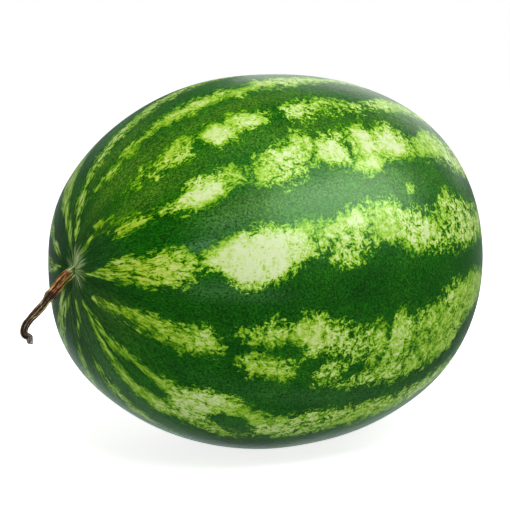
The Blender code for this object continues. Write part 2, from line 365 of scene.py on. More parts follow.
# %% Stripes underneath
STRIPES |= {
    "under_upper_strand": [
        (0.045, 136, 149, 0.5), (0.06, 137, 150, 0.7), (0.08, 138, 150, 0.75),
        (0.10, 138, 148, 0.8), (0.115, 136.5, 148, 0.9), (0.13, 136, 147, 0.95),
        (0.145, 135, 141.5, 0.95), (0.16, 135, 141.5, 1.0), (0.19, 134.5, 141, 1.05),
        (0.205, 134, 143, 1.0), (0.225, 134, 149, 0.95), (0.235, 132, 152, 1.1),
        (0.25, 131, 154, 1.1), (0.27, 130, 152, 1.05), (0.285, 130, 147, 0.95),
        (0.295, 129.5, 141, 0.85), (0.31, 131, 141, 0.75), (0.33, 133, 142, 0.7),
        (0.345, 134, 144, 0.8), (0.365, 134, 149, 0.85), (0.40, 133, 148, 0.95),
        (0.43, 132, 146, 0.95), (0.47, 131, 143, 0.95), (0.52, 130, 142, 0.88),
        (0.60, 127, 138, 0.86), (0.66, 124, 134, 0.88), (0.80, 124, 134, 0.95),
        (0.92, 124, 133, 0.8), (0.97, 125, 131, 0.3),
    ],
    "under_lower_strand": [
        (0.055, 149, 153, 0.5), (0.08, 148, 153, 0.7), (0.10, 147, 156, 0.8),
        (0.12, 148, 156, 0.95), (0.15, 149, 158, 1.0), (0.175, 150, 158, 1.0),
        (0.20, 149, 158, 1.05), (0.225, 148, 158, 1.05), (0.245, 147, 155, 1.0),
        (0.27, 146, 155, 0.95), (0.30, 147, 155, 0.9), (0.33, 147.5, 156, 0.8),
        (0.35, 147, 153, 0.6), (0.37, 147, 151, 0.4),
    ],
    "belly_near_stalk": [
        (0.03, 155, 163, 0.5), (0.04, 160, 171, 0.8), (0.05, 163, 175, 0.8),
        (0.065, 168, 180, 0.75), (0.08, 176, 185, 0.6), (0.10, 184, 192, 0.7),
        (0.13, 187, 196, 0.8), (0.16, 189, 199, 0.85), (0.20, 190, 202, 0.8), (0.25, 190, 200, 0.6),
    ],
    "belly": [
        (0.12, 172, 178, 0.4), (0.14, 170, 178, 0.8), (0.17, 169, 178, 0.9), (0.20, 169, 177, 0.9),
        (0.23, 168, 178, 0.9), (0.26, 168, 176, 0.6), (0.30, 168, 177, 0.6), (0.45, 164, 176, 0.8),
        (0.60, 158, 170, 0.9), (0.75, 155, 166, 0.9), (0.92, 154, 163, 0.7), (0.97, 155, 161, 0.3),
    ],
    "back_under_near_stalk": [
        (0.03, 188, 198, 0.5), (0.045, 194, 207, 0.9), (0.06, 202, 213, 0.9), (0.09, 208, 220, 0.9),
        (0.15, 212, 226, 1.0),
    ],
}
print("stripes so far", len(STRIPES))

# %% [markdown]
# ## Stripes on the far side
# Nobody sees the back from the front, but the fruit is finished all round. These stripes wander
# in the same way. Each has a middle, a width and a starting number for its own random walk, so
# that the script gives the same fruit each time.

# %% Stations of the stripes on the far side
FAR_STRIPES = {
    "back_under": (219, 12, 11),
    "back_low": (246, 15, 12),
    "back_middle": (274, 13, 13),
    "back_high": (301, 14, 14),
}
WALK_PLACES = np.concatenate([[0.03, 0.055], np.linspace(0.09, 0.90, 22), [0.97]])
DRIFT = 1.6  # degrees that a stripe may turn aside from one place to the next
EDGE_WANDER = 2.2  # degrees that each edge may wander besides
LIGHTS = [0.75, 0.9, 1.0, 1.0, 1.15, 1.4]
STALK_END, STALK_TAPER = 0.005, 0.05  # where a stripe starts, and over how much it gains light
SCAR_END, SCAR_TAPER = 1.0, 0.07


def wandering_stripe(middle, width, seed):
    """Stations of a stripe whose edges and lightness wander from place to place."""
    draw = np.random.RandomState(seed)
    drift = np.cumsum(draw.uniform(-DRIFT, DRIFT, len(WALK_PLACES)))
    drift -= drift.mean()
    rows = []
    for place, shift in zip(WALK_PLACES, drift):
        low = middle + shift - width / 2 + draw.uniform(-EDGE_WANDER, EDGE_WANDER)
        high = middle + shift + width / 2 + draw.uniform(-EDGE_WANDER, EDGE_WANDER)
        light = draw.choice(LIGHTS)
        ends = min(1.0, (place - STALK_END) / STALK_TAPER, (SCAR_END - place) / SCAR_TAPER)
        rows.append((place, low, high, light * ends))
    return rows


for name, (middle, width, seed) in FAR_STRIPES.items():
    STRIPES[name] = wandering_stripe(middle, width, seed)
print("stripes in all", len(STRIPES))

# %% [markdown]
# Some marks are smaller than a stripe: dark holes inside one, and pale spots. Each is a soft
# spot with a middle, a reach along the skin and a reach round it.

# %% Dark holes and pale spots
# Each row is (place along, degrees round, reach along, reach in degrees, change in lightness).
SPOTS = [
    (0.385, 113.5, 0.014, 2.0, -0.8), (0.455, 116.0, 0.016, 2.2, -0.9),
    (0.350, 109.5, 0.018, 1.2, -0.6), (0.170, 144.5, 0.024, 2.6, -0.8),
    (0.300, 143.5, 0.022, 2.5, -0.8), (0.475, 50.0, 0.007, 3.0, -0.7),
    (0.408, 50.5, 0.008, 2.2, -0.25), (0.557, 63.5, 0.013, 2.4, 0.85),
    (0.240, 53.0, 0.022, 3.0, 0.3), (0.262, 51.5, 0.010, 1.5, 0.4), (0.300, 79.0, 0.050, 7.0, 0.12),
    (0.447, 71.5, 0.010, 2.6, 0.5), (0.563, 77.0, 0.022, 3.0, 0.3), (0.378, 48.5, 0.016, 2.6, 0.5),
    (0.447, 50.0, 0.018, 3.4, 0.5), (0.508, 48.5, 0.010, 4.0, 0.5), (0.500, 55.5, 0.020, 1.2, 0.35),
    (0.556, 48.5, 0.018, 4.0, 0.6), (0.300, 33.0, 0.014, 4.0, 0.35), (0.345, 33.5, 0.020, 2.0, 0.3),
    (0.388, 104.5, 0.030, 3.2, 0.38), (0.520, 105.0, 0.014, 4.0, 0.2),
    (0.605, 30.0, 0.016, 3.0, 0.15), (0.538, 65.0, 0.006, 3.5, -0.7),
    (0.580, 66.0, 0.020, 1.8, -0.8), (0.435, 31.0, 0.014, 2.5, 0.3),
    (0.140, 24.8, 0.020, 0.9, 0.55), (0.130, 117.8, 0.016, 1.0, 0.6),
    (0.243, 85.5, 0.012, 2.5, -0.65), (0.184, 75.5, 0.005, 2.6, -0.5),
    (0.700, 74.0, 0.012, 3.0, 0.2),
]
print("holes and spots", len(SPOTS))

# %% [markdown]
# Now the stripes and spots are laid on the skin. Where two stripes meet, the lighter one wins.
# Near the stalk all of them are a little greener.

# %% Lay them on the skin
EDGE_SOFTNESS = 3.5  # degrees over which a stripe's edge fades, and noise can shift it
GREENER_NEAR_STALK = 0.78  # the share of its lightness that a stripe has near the stalk
FULLY_LIGHT_FROM = 0.27  # place along
LIGHTENS_OVER = 0.15


def degrees_from(middle):
    """How far each vertex is round from an angle, the short way."""
    return (round_deg - middle + 180.0) % 360.0 - 180.0


lightness = np.zeros(len(points))
for stations in STRIPES.values():
    places, lows, highs, lights = np.array(stations).T
    low, high = np.interp(along, places, lows), np.interp(along, places, highs)
    inside = (high - low) / 2 - abs(degrees_from((low + high) / 2))
    soft = np.clip(0.5 + inside / (2 * EDGE_SOFTNESS), 0.0, 1.0)
    strength = np.interp(along, places, lights, left=0.0, right=0.0)
    lightness = np.maximum(lightness, soft * strength)
lightened = falloff(FULLY_LIGHT_FROM - along, LIGHTENS_OVER)
lightness *= GREENER_NEAR_STALK + (1.0 - GREENER_NEAR_STALK) * lightened
for place, angle, reach, reach_deg, change in SPOTS:
    far = ((along - place) / reach) ** 2 + (degrees_from(angle) / reach_deg) ** 2
    lightness += change * np.exp(-far)
print("lightness from", round(float(lightness.min()), 2), "to", round(float(lightness.max()), 2))

# %% [markdown]
# Four more fields shift the colours by place: a pale waxy bloom, which also paints the pale haze of
# reflections near the edges and in the gloss; olive ground; painted shade that darkens the ground
# low on the side; and warm, which makes a stripe yellower. Each is a sum of soft spots.

# %% Spots of bloom and painted reflection, olive, painted shade and warm colour
# Each row is (place along, degrees round, reach along, reach in degrees, strength).
# Bloom is a real pale waxy film, and also painted reflection: the pale haze of the gloss and of the
# white surroundings near the edges.
BLOOM_AND_REFLECTION = [
    (0.236, 89.0, 0.044, 3.6, 0.20), (0.226, 72.0, 0.022, 2.2, 0.38),
    (0.262, 66.0, 0.040, 4.6, 0.24), (0.300, 91.5, 0.040, 2.2, 0.12),
    (0.390, 62.0, 0.060, 4.0, 0.12), (0.200, 163.0, 0.150, 6.0, 0.32),
    (0.420, 126.0, 0.160, 3.5, 0.12), (0.240, -14.0, 0.060, 4.0, 0.25),
    (0.420, 147.0, 0.200, 9.0, 0.14),
]
OLIVE = [
    (0.170, 42.0, 0.080, 6.0, 0.9), (0.160, 22.0, 0.100, 8.0, 1.0),
    (0.100, 125.0, 0.050, 12.0, 0.3), (0.200, 4.0, 0.080, 4.0, 0.9), (0.290, 62.0, 0.070, 5.0, 0.5),
    (0.380, 24.0, 0.120, 4.0, 0.9), (0.420, 40.0, 0.160, 4.0, 0.6),
    (0.090, 110.0, 0.040, 10.0, 0.3), (0.080, -10.0, 0.040, 6.0, 0.4),
    (0.520, 60.0, 0.120, 5.0, 0.4), (0.600, 38.0, 0.060, 4.0, 0.5),
]
# Painted shade: darker ground low on the side, below the main stripe, where less light falls.
PAINTED_SHADE = [
    (0.470, 91.0, 0.170, 7.0, 0.85), (0.330, 93.0, 0.080, 5.0, 0.5), (0.150, 99.0, 0.110, 6.0, 0.7),
    (0.450, 126.0, 0.140, 4.0, 0.4),
]
WARM = [
    (0.135, 82.0, 0.075, 14.0, 1.0), (0.130, 51.0, 0.080, 8.0, 0.9),
    (0.120, 112.0, 0.090, 8.0, 0.8), (0.210, 31.0, 0.070, 7.0, 0.7),
    (0.070, 34.0, 0.050, 12.0, 0.8), (0.300, 120.0, 0.060, 5.0, 0.5),
    (0.370, 104.0, 0.050, 5.0, 0.4), (0.220, 15.0, 0.120, 7.0, 0.5),
    (0.060, 145.0, 0.050, 20.0, 0.5),
]


def soft_spots(rows):
    """The sum of soft spots over the skin, held at 1."""
    value = np.zeros(len(points))
    for place, centre, reach, reach_deg, strength in rows:
        far = ((along - place) / reach) ** 2 + (degrees_from(centre) / reach_deg) ** 2
        value += strength * np.exp(-far)
    return np.minimum(value, 1.0)


for name, rows in (("bloom_and_reflection", BLOOM_AND_REFLECTION), ("olive", OLIVE), ("painted_shade", PAINTED_SHADE), ("warm", WARM)):
    write_attribute(rind.data, name, soft_spots(rows))
    print(name, "spots", len(rows))

# %% [markdown]
# Round the stalk's seat the skin is fibrous. The collar's number says how strongly: it fades
# outwards from the seat, and reaches furthest on two sides. Fine veins spread from there over the
# lower side. The scar only needs its distance from the axis, at its own end.

# %% The collar, the veins and the scar
OTHER_END = 10.0  # metres, added on the other half of the fruit, so that nothing there counts
# Each is (degrees round, spread in degrees).
LONGEST_FIBRES = (40.0, 48.0)
LOWER_FIBRES = (112.0, 38.0)
LOWER_SHARE = 0.65  # how strong the lower fibres are beside the longest
COLLAR_REACH, COLLAR_REACH_MORE = 0.0125, 0.0115  # metres from the axis, and what fibres add
COLLAR_FADE = 0.0120
COLLAR_STRENGTH, COLLAR_STRENGTH_MORE = 0.55, 0.45
VEINS = (160.0, 55.0)
VEINS_REACH = 0.20  # place along
SCAR_FIELD = 0.1  # metres: further from the scar than this makes no difference


def one_side(middle, spread):
    """1 at an angle round the fruit, falling off to both sides of it."""
    return np.exp(-((degrees_from(middle) / spread) ** 2))


from_seat = across + OTHER_END * (points[:, 0] > 0)
from_scar = across + OTHER_END * (points[:, 0] < 0)
favoured = np.maximum(one_side(*LONGEST_FIBRES), LOWER_SHARE * one_side(*LOWER_FIBRES))
collar = (COLLAR_REACH + COLLAR_REACH_MORE * favoured - from_seat) / COLLAR_FADE
collar = np.clip(collar, 0.0, 1.0) * (COLLAR_STRENGTH + COLLAR_STRENGTH_MORE * favoured)
veined = falloff(along, VEINS_REACH) * (0.15 + 0.85 * one_side(*VEINS))
write_attribute(rind.data, "collar", collar)
write_attribute(rind.data, "veined", veined)
write_attribute(rind.data, "from_scar", np.minimum(from_scar, SCAR_FIELD))
print("collar up to", round(float(collar.max()), 2), "veins up to", round(float(veined.max()), 2))

# %% [markdown]
# The material's noise is not read in plain space. It is read on a straight tube as long as the
# skin, on which the fruit is unrolled: along stays along, and round stays round. Towards the two
# ends the real skin is narrower than the tube, so every fleck there becomes a thin streak that
# runs to the stalk, as on the real rind. The tube is also squeezed lengthwise towards both ends,
# which draws the noise out along the skin there.

# %% The tube that noise is read on
# Each is (how much the tube is squeezed at that end, place along that the squeeze reaches).
STALK_SQUEEZE = (0.52, 0.32)
SCAR_SQUEEZE = (0.45, 0.20)
angle = np.radians(round_deg)
places = np.linspace(0.0, 1.0, 501)
density = 1.0 - STALK_SQUEEZE[0] * falloff(places, STALK_SQUEEZE[1])
density -= SCAR_SQUEEZE[0] * falloff(1.0 - places, SCAR_SQUEEZE[1])
run = np.concatenate([[0.0], np.cumsum(density[:-1])]) / (len(places) - 1)
lengthwise = SKIN_LENGTH * np.interp(along, places, run)
tube = np.stack([lengthwise, -GIRTH * np.sin(angle), GIRTH * np.cos(angle)], axis=1)
write_attribute(rind.data, "lightness", lightness)
write_attribute(rind.data, "tube", tube)
write_attribute(rind.data, "along", along)
print("tube length", round(float(SKIN_LENGTH * run[-1]), 4))

# %% [markdown]
# ## Growth
# No melon is quite even. The stalk's end is drawn up a little, some places lie lower, the skin
# undulates by a fraction of a millimetre, and fine ridges spread from the stalk's seat. Last, the
# underside is pressed flat where the fruit rests.

# %% How far it is from round
SEAT_RISE = 0.0060
SEAT_RISE_REACH = 0.100
# Each row is (place, depth, reach), and a negative depth is a swelling.
LOW_SPOTS = [
    ((0.027, -0.006, 0.125), 0.0020, 0.100),
    ((-0.093, 0.043, 0.092), 0.0010, 0.100),
    ((-0.101, 0.016, -0.095), 0.0012, 0.100),
    ((0.061, -0.061, -0.103), 0.0012, 0.100),
    ((0.119, -0.087, -0.002), 0.0024, 0.100),
    ((-0.139, 0.057, 0.003), 0.0017, 0.055),
    ((-0.127, 0.041, -0.060), -0.0017, 0.055),
]
UNDULATION = 0.00025
UNDULATION_SCALE = 22.0  # one over the width of an undulation, in metres
SEAT_RIDGE = 0.00035
RIDGES_MIDDLE, RIDGES_REACH = 0.0095, 0.0065  # metres from the axis
print("low spots", len(LOW_SPOTS), "seat rises", SEAT_RISE)

# %% Push the fruit out of round
sizes = np.array([HALF_LENGTH, GIRTH, GIRTH])
outward = points / sizes**2
outward /= np.linalg.norm(outward, axis=1)[:, None]
grown = points.copy()
from_seat_middle = np.linalg.norm(points - [-HALF_LENGTH, 0, 0], axis=1)
grown[:, 2] += SEAT_RISE * falloff(from_seat_middle, SEAT_RISE_REACH)
for place, depth, reach in LOW_SPOTS:
    inward = -np.array(place) / sizes**2
    inward /= np.linalg.norm(inward)
    near = falloff(np.linalg.norm(points - place, axis=1), reach)
    grown += depth * near[:, None] * inward
waves = np.array([noise.noise(Vector(p * UNDULATION_SCALE)) for p in points])
ridges = np.sin(angle * 13 + 1.5 * np.sin(angle * 3)) + 0.6 * np.sin(angle * 22 + 1.0)
spread = falloff(abs(across - RIDGES_MIDDLE), RIDGES_REACH) * (points[:, 0] < 0)
grown += (UNDULATION * waves + SEAT_RIDGE * ridges * spread)[:, None] * outward
grown[:, 2] = np.maximum(grown[:, 2] + AXIS_HEIGHT, 0.0)
write_points(rind.data, grown)
make_active(rind)
bpy.ops.object.shade_smooth()
print("rind box", grown.min(0).round(4), grown.max(0).round(4))

# %% [markdown]
# ## Building a material from nodes
# A material is a tree of nodes. Small helpers keep the tree readable: one starts a material, one
# adds a node with its settings and wires, and each of the rest makes one kind of node that comes
# up again and again.

# %% Node helpers
def new_tree(name):
    material = bpy.data.materials.new(name)
    material.use_nodes = True
    return material, material.node_tree


def add_node(tree, kind, inputs=None, **settings):
    """Adds a node. An input is given by name or number, as a value or as another node's output."""
    node = tree.nodes.new(kind)
    for key, value in settings.items():
        setattr(node, key, value)
    for key, value in (inputs or {}).items():
        if isinstance(value, bpy.types.NodeSocket):
            tree.links.new(value, node.inputs[key])
        else:
            node.inputs[key].default_value = value
    return node


def attribute(tree, name, output="Fac"):
    """Reads what was stored on the vertices under this name."""
    return add_node(tree, "ShaderNodeAttribute", attribute_name=name).outputs[output]


def maths(tree, operation, first, second=0.0, third=0.0):
    """One sum on numbers. MULTIPLY_ADD is the first times the second, plus the third."""
    inputs = {0: first, 1: second, 2: third}
    return add_node(tree, "ShaderNodeMath", inputs, operation=operation).outputs[0]


def total(tree, *terms):
    result = terms[0]
    for term in terms[1:]:
        result = maths(tree, "ADD", result, term)
    return result


def fade(tree, value, start, end, low=0.0, high=1.0):
    """A smooth step: low before start, high after end."""
    inputs = {"Value": value, "From Min": start, "From Max": end, "To Min": low, "To Max": high}
    node = add_node(tree, "ShaderNodeMapRange", inputs, interpolation_type="SMOOTHSTEP")
    return node.outputs["Result"]


print("node helpers: new_tree, add_node, attribute, maths, total, fade")

# %% [markdown]
# Every marking here is noise of a known size, so the noise helper takes its size in metres and
# not as a scale. Noise from Blender lies round a half. Where it is to push a number both up and
# down, it is moved to lie round nought.

# %% Noise, ramps and mixing
def speckle(tree, vector, size, detail=2.0, roughness=0.5, stretch=1.0):
    """Noise whose features are about this size in metres, drawn out along X by the stretch."""
    scale = (1.0 / (size * stretch), 1.0 / size, 1.0 / size)
    mapped = add_node(tree, "ShaderNodeMapping", {"Vector": vector, "Scale": scale})
    inputs = {"Vector": mapped.outputs[0], "Scale": 1.0, "Detail": detail, "Roughness": roughness}
    return add_node(tree, "ShaderNodeTexNoise", inputs).outputs["Fac"]


def centred(tree, vector, size, strength, detail=2.0, roughness=0.6, stretch=1.0):
    """Noise that swings to both sides of nought by about the strength."""
    grain = speckle(tree, vector, size, detail, roughness, stretch)
    return maths(tree, "MULTIPLY_ADD", grain, 4.0 * strength, -2.0 * strength)


def ramp(tree, value, stops):
    """A colour ramp from (position, (red, green, blue)) stops."""
    node = add_node(tree, "ShaderNodeValToRGB", {"Fac": value})
    elements = node.color_ramp.elements
    while len(elements) < len(stops):
        elements.new(0.5)
    for element, (position, colour) in zip(elements, stops):
        element.position = position
        element.color = (*colour, 1.0)
    return node.outputs["Color"]


def blend(tree, amount, below, above, kind="MIX"):
    """Mixes two colours. A Mix node has sockets for every kind of value: 6 and 7 are colours."""
    node = add_node(tree, "ShaderNodeMix", data_type="RGBA", blend_type=kind)
    for number, value in ((0, amount), (6, below), (7, above)):
        if isinstance(value, bpy.types.NodeSocket):
            tree.links.new(value, node.inputs[number])
        else:
            node.inputs[number].default_value = value if number == 0 else (*value, 1.0)
    return node.outputs[2]


print("more helpers: speckle, centred, ramp, blend")

# %% [markdown]
# ## The rind
# Rind is skin with wax on it. Its colour comes from one number, the level: the stripe field with
# noise added. Low levels are the dark ground, the middle is a strong yellow-green, and high
# levels are cream. Because the noise has coarse and fine parts, a stripe's edge is jagged at
# every scale, with small islands on either side, like the real one.
#
# The flecks of a real rind are roundish, not wispy, so the coarser of them are blobs from a
# Voronoi texture. Their places are pushed about first, so that no pattern shows. Near the stalk
# the flecks turn into streaks that run to it.

# %% The level of the stripes
# Each is (size in metres, strength).
COARSE_PATCHES = (0.016, 0.16)
BLOBS = (0.0058, 0.30)
MIDDLING_FLECKS = (0.0036, 0.27)
SMALL_FLECKS = (0.0021, 0.37)
SMALLEST_FLECKS = (0.0012, 0.24)
STALK_STREAKS = (0.0085, 0.85)
PUSH = (0.008, 0.005)  # size of the pushes, and how far they push
BUSY_PATCHES = 0.045  # metres: the size of the areas with more or less fleck


def lobes(tree, vector, size, strength):
    """Rounded blobs about this size: high at each cell's middle, low between cells."""
    inputs = {"Vector": vector, "Scale": 1.0 / size, "Smoothness": 0.35, "Randomness": 1.0}
    cells = add_node(tree, "ShaderNodeTexVoronoi", inputs, feature="SMOOTH_F1")
    distance = cells.outputs["Distance"]
    return maths(tree, "MULTIPLY_ADD", distance, -2.4 * strength, 1.05 * strength)


def warped(tree, vector, size, amount):
    """The same place, pushed about by up to the amount, so that no pattern on it looks regular."""
    inputs = {"Vector": vector, "Scale": 1.0 / size, "Detail": 2.0}
    push = add_node(tree, "ShaderNodeTexNoise", inputs)
    inputs = {0: push.outputs["Color"], 1: (0.5, 0.5, 0.5)}
    push = add_node(tree, "ShaderNodeVectorMath", inputs, operation="SUBTRACT")
    inputs = {0: push.outputs[0], 1: (2.0 * amount,) * 3, 2: vector}
    return add_node(tree, "ShaderNodeVectorMath", inputs, operation="MULTIPLY_ADD").outputs[0]


def stripe_level(tree, tube, along_skin, coarse):
    """The stripe field with noise of every size added, halved to fit a colour ramp."""
    light = attribute(tree, "lightness")
    near_stalk = fade(tree, along_skin, 0.24, 0.06)
    pushed = warped(tree, tube, *PUSH)
    busy = fade(tree, speckle(tree, tube, BUSY_PATCHES, detail=1.0), 0.35, 0.65, 0.65, 1.35)
    fine = total(
        tree,
        lobes(tree, pushed, *BLOBS),
        centred(tree, pushed, *MIDDLING_FLECKS, detail=1.0),
        centred(tree, pushed, *SMALL_FLECKS, detail=1.0),
        centred(tree, tube, *SMALLEST_FLECKS, detail=1.0),
    )
    fine = maths(tree, "MULTIPLY", fine, maths(tree, "MULTIPLY_ADD", near_stalk, -0.35, busy))
    streaks = centred(tree, tube, *STALK_STREAKS, detail=4.0, stretch=0.6)
    streaks = maths(tree, "MULTIPLY", streaks, fade(tree, along_skin, 0.17, 0.06))
    # In the dark ground, away from any stripe, the noise is held back to a third.
    lifted = maths(tree, "MULTIPLY_ADD", near_stalk, 0.12, light)
    hold = fade(tree, lifted, 0.0, 0.45, 0.33, 1.0)
    grain = maths(tree, "MULTIPLY", total(tree, coarse, fine, streaks), hold)
    return maths(tree, "MULTIPLY", maths(tree, "ADD", light, grain), 0.5)


print("sizes of the stripes' noise, in millimetres")
for noise_size, _ in (COARSE_PATCHES, BLOBS, MIDDLING_FLECKS, SMALL_FLECKS, SMALLEST_FLECKS):
    print("   ", round(noise_size * 1000, 1))

# %% [markdown]
# A colour ramp turns the level into the stripe's colour. Near the stalk and low on the side the
# stripes are warmer, so there the colour is multiplied by a yellow tint, which takes out blue.

# %% Colours of the stripes
STRIPE_COLOURS = [
    (0.15, (0.007, 0.080, 0.001)),
    (0.21, (0.026, 0.145, 0.001)),
    (0.27, (0.080, 0.255, 0.002)),
    (0.35, (0.190, 0.400, 0.004)),
    (0.46, (0.335, 0.535, 0.060)),
    (0.57, (0.460, 0.615, 0.205)),
    (0.69, (0.550, 0.655, 0.315)),
    (0.85, (0.580, 0.675, 0.390)),
]
WARM_TINT = (0.92, 0.90, 0.30)


def stripe_colour(tree, level):
    colour = ramp(tree, level, STRIPE_COLOURS)
    return blend(tree, attribute(tree, "warm"), colour, WARM_TINT, "MULTIPLY")


print("stops in the stripes' ramp", len(STRIPE_COLOURS))

# %% [markdown]
# The dark ground between the stripes isn't one green. It varies in broad patches, turns olive
# beside some stripes, is darkened by painted shade low on the side, darkens near the stalk and is
# finely veined there.
# Over it all lie tiny pores, as a stipple that makes the ground darker or lighter.

# %% Colours of the dark ground
GROUND_COLOURS = [
    (0.35, (0.002, 0.062, 0.0005)),
    (0.52, (0.004, 0.080, 0.0005)),
    (0.68, (0.009, 0.100, 0.001)),
]
NEAR_STALK_GROUND = (0.006, 0.038, 0.009)
OLIVE_GROUND = (0.046, 0.146, 0.006)
PAINTED_SHADE_TINT = (0.42, 0.68, 0.30)
VEIN_COLOUR = (0.070, 0.190, 0.030)
PORE_TINTS = [(0.30, (0.10, 0.16, 0.10)), (0.50, (1.0, 1.0, 1.0)), (0.70, (3.4, 2.4, 3.4))]


def ground_colour(tree, tube, along_skin, stipple):
    patches = speckle(tree, tube, 0.035, detail=3.0, roughness=0.6)
    colour = ramp(tree, patches, GROUND_COLOURS)
    near_stalk = fade(tree, along_skin, 0.15, 0.06, 0.0, 0.6)
    colour = blend(tree, near_stalk, colour, NEAR_STALK_GROUND)
    olive = maths(tree, "MULTIPLY", attribute(tree, "olive"), 0.8)
    colour = blend(tree, olive, colour, OLIVE_GROUND)
    # Painted shade darkens the ground low on the side.
    colour = blend(tree, attribute(tree, "painted_shade"), colour, PAINTED_SHADE_TINT, "MULTIPLY")
    veins = speckle(tree, tube, 0.0060, detail=3.0, roughness=0.7, stretch=22.0)
    veins = maths(tree, "MULTIPLY", fade(tree, veins, 0.50, 0.66), attribute(tree, "veined"))
    colour = blend(tree, veins, colour, VEIN_COLOUR)
    return blend(tree, 1.0, colour, ramp(tree, stipple, PORE_TINTS), "MULTIPLY")


print("the ground's middle green", GROUND_COLOURS[1][1])

# %% [markdown]
# Round the stalk's seat the skin is torn into pale fibres, longest on one side. They are thin
# noise, drawn out along the skin, and let through where the collar's number is high. At the other
# end the old flower left a small corky scar, whose edge the coarse noise makes uneven.

# %% The fibres round the seat, and the old flower's scar
FIBRE_COLOURS = [
    (0.44, (0.022, 0.100, 0.020)),
    (0.56, (0.160, 0.310, 0.085)),
    (0.68, (0.600, 0.700, 0.340)),
]
SCAR_COLOURS = [(0.35, (0.070, 0.045, 0.020)), (0.65, (0.340, 0.260, 0.150))]
SCAR_STARTS, SCAR_FULL = 0.0058, 0.0036  # metres from the axis


def with_fibres(tree, colour, tube):
    rays = speckle(tree, tube, 0.0120, detail=3.0, roughness=0.75, stretch=30.0)
    shade = speckle(tree, tube, 0.0090, detail=3.0, roughness=0.75, stretch=20.0)
    collar = attribute(tree, "collar")
    fibres = fade(tree, maths(tree, "MULTIPLY_ADD", collar, 0.26, rays), 0.56, 0.72)
    fibres = maths(tree, "MULTIPLY", fibres, fade(tree, collar, 0.0, 0.35))
    tone = maths(tree, "MULTIPLY_ADD", collar, 0.10, shade)
    return blend(tree, fibres, colour, ramp(tree, tone, FIBRE_COLOURS))


def with_scar(tree, colour, coarse, stipple):
    distance = maths(tree, "MULTIPLY_ADD", coarse, 0.004, attribute(tree, "from_scar"))
    cork = ramp(tree, stipple, SCAR_COLOURS)
    return blend(tree, fade(tree, distance, SCAR_STARTS, SCAR_FULL), colour, cork)


print("scar about", round((SCAR_STARTS + SCAR_FULL) * 1000, 1), "mm across")

# %% [markdown]
# Now the rind's material is put together. Wax gives it a broad, soft gloss. Its bloom is a thin
# pale film on some patches, which also paints the pale haze of reflections there, and the same
# film makes the skin paler where it is seen at a slant, which is what sheen does. The skin is not
# quite smooth, so a small bump breaks up the gloss.

# %% The rind's material
BLOOM_AND_REFLECTION_COLOUR = (0.160, 0.335, 0.150)
SKIN_BUMP = {"Strength": 0.5, "Distance": 0.0004}


def rind_material():
    material, tree = new_tree("rind")
    shader = tree.nodes["Principled BSDF"]
    tube = attribute(tree, "tube", "Vector")
    along_skin = attribute(tree, "along")
    coarse = centred(tree, tube, *COARSE_PATCHES, detail=1.0)
    stipple = speckle(tree, tube, 0.0014, detail=2.0, roughness=0.8)
    level = stripe_level(tree, tube, along_skin, coarse)
    ground = ground_colour(tree, tube, along_skin, stipple)
    colour = blend(tree, fade(tree, level, 0.14, 0.22), ground, stripe_colour(tree, level))
    # The bloom's pale film is also painted reflection haze.
    bloom_and_reflection = maths(tree, "MULTIPLY", attribute(tree, "bloom_and_reflection"), fade(tree, stipple, 0.30, 0.60))
    colour = blend(tree, bloom_and_reflection, colour, BLOOM_AND_REFLECTION_COLOUR)
    colour = with_fibres(tree, colour, tube)
    colour = with_scar(tree, colour, coarse, stipple)
    tree.links.new(colour, shader.inputs["Base Color"])
    ripple = total(
        tree,
        maths(tree, "MULTIPLY", speckle(tree, tube, 0.009, detail=2.0), 1.5),
        maths(tree, "MULTIPLY", speckle(tree, tube, 0.0016, detail=2.0), 0.60),
    )
    bump = add_node(tree, "ShaderNodeBump", {"Height": ripple, **SKIN_BUMP})
    tree.links.new(bump.outputs["Normal"], shader.inputs["Normal"])
    shader.inputs["Roughness"].default_value = 0.33
    shader.inputs["Specular IOR Level"].default_value = 0.20
    shader.inputs["Specular Tint"].default_value = (0.60, 1.0, 0.50, 1.0)
    shader.inputs["Sheen Weight"].default_value = 0.16
    shader.inputs["Sheen Roughness"].default_value = 0.25
    shader.inputs["Sheen Tint"].default_value = (0.62, 0.86, 0.80, 1.0)
    return material


rind.data.materials.append(rind_material())
print("nodes in the rind's material", len(rind.data.materials[0].node_tree.nodes))

# %% [markdown]
# ## The stalk
# The stalk is a dried vine: a bundle of fibres that has shrunk into ridges, with a knot where a
# leaf grew, a bent end and a torn tip. A ridged outline is swept along a curve. Each point of the
# curve has its own radius, and a tilt that twists the ridges.

# %% The stalk's route, from the fruit outwards
# Each row is (x, y, z, radius).
STALK_ROUTE = [
    (-0.1470, 0.0, 0.1329, 0.0034), (-0.1515, 0.0, 0.1306, 0.0036), (-0.1555, 0.0, 0.1277, 0.0034),
    (-0.1595, 0.0, 0.1244, 0.0032), (-0.1634, 0.0, 0.1206, 0.0030), (-0.1672, 0.0, 0.1169, 0.0031),
    (-0.1702, 0.0, 0.1138, 0.0026), (-0.1741, 0.0, 0.1098, 0.0026), (-0.1780, 0.0, 0.1065, 0.0026),
    (-0.1814, 0.0, 0.1036, 0.0023), (-0.1841, 0.0, 0.1007, 0.0023),
    (-0.1856, -0.0004, 0.0979, 0.0022), (-0.1861, -0.0012, 0.0956, 0.0022),
    (-0.1857, -0.0022, 0.0943, 0.0021), (-0.1844, -0.0032, 0.0938, 0.0019),
    (-0.1842, -0.0042, 0.0925, 0.0019), (-0.1845, -0.0049, 0.0910, 0.0018),
    (-0.1851, -0.0053, 0.0898, 0.0016),
]
OUTLINE_POINTS = 64
STEPS_BETWEEN = 12
TWIST = math.radians(75)
print("stalk's radius from", STALK_ROUTE[0][3], "to", STALK_ROUTE[-1][3])

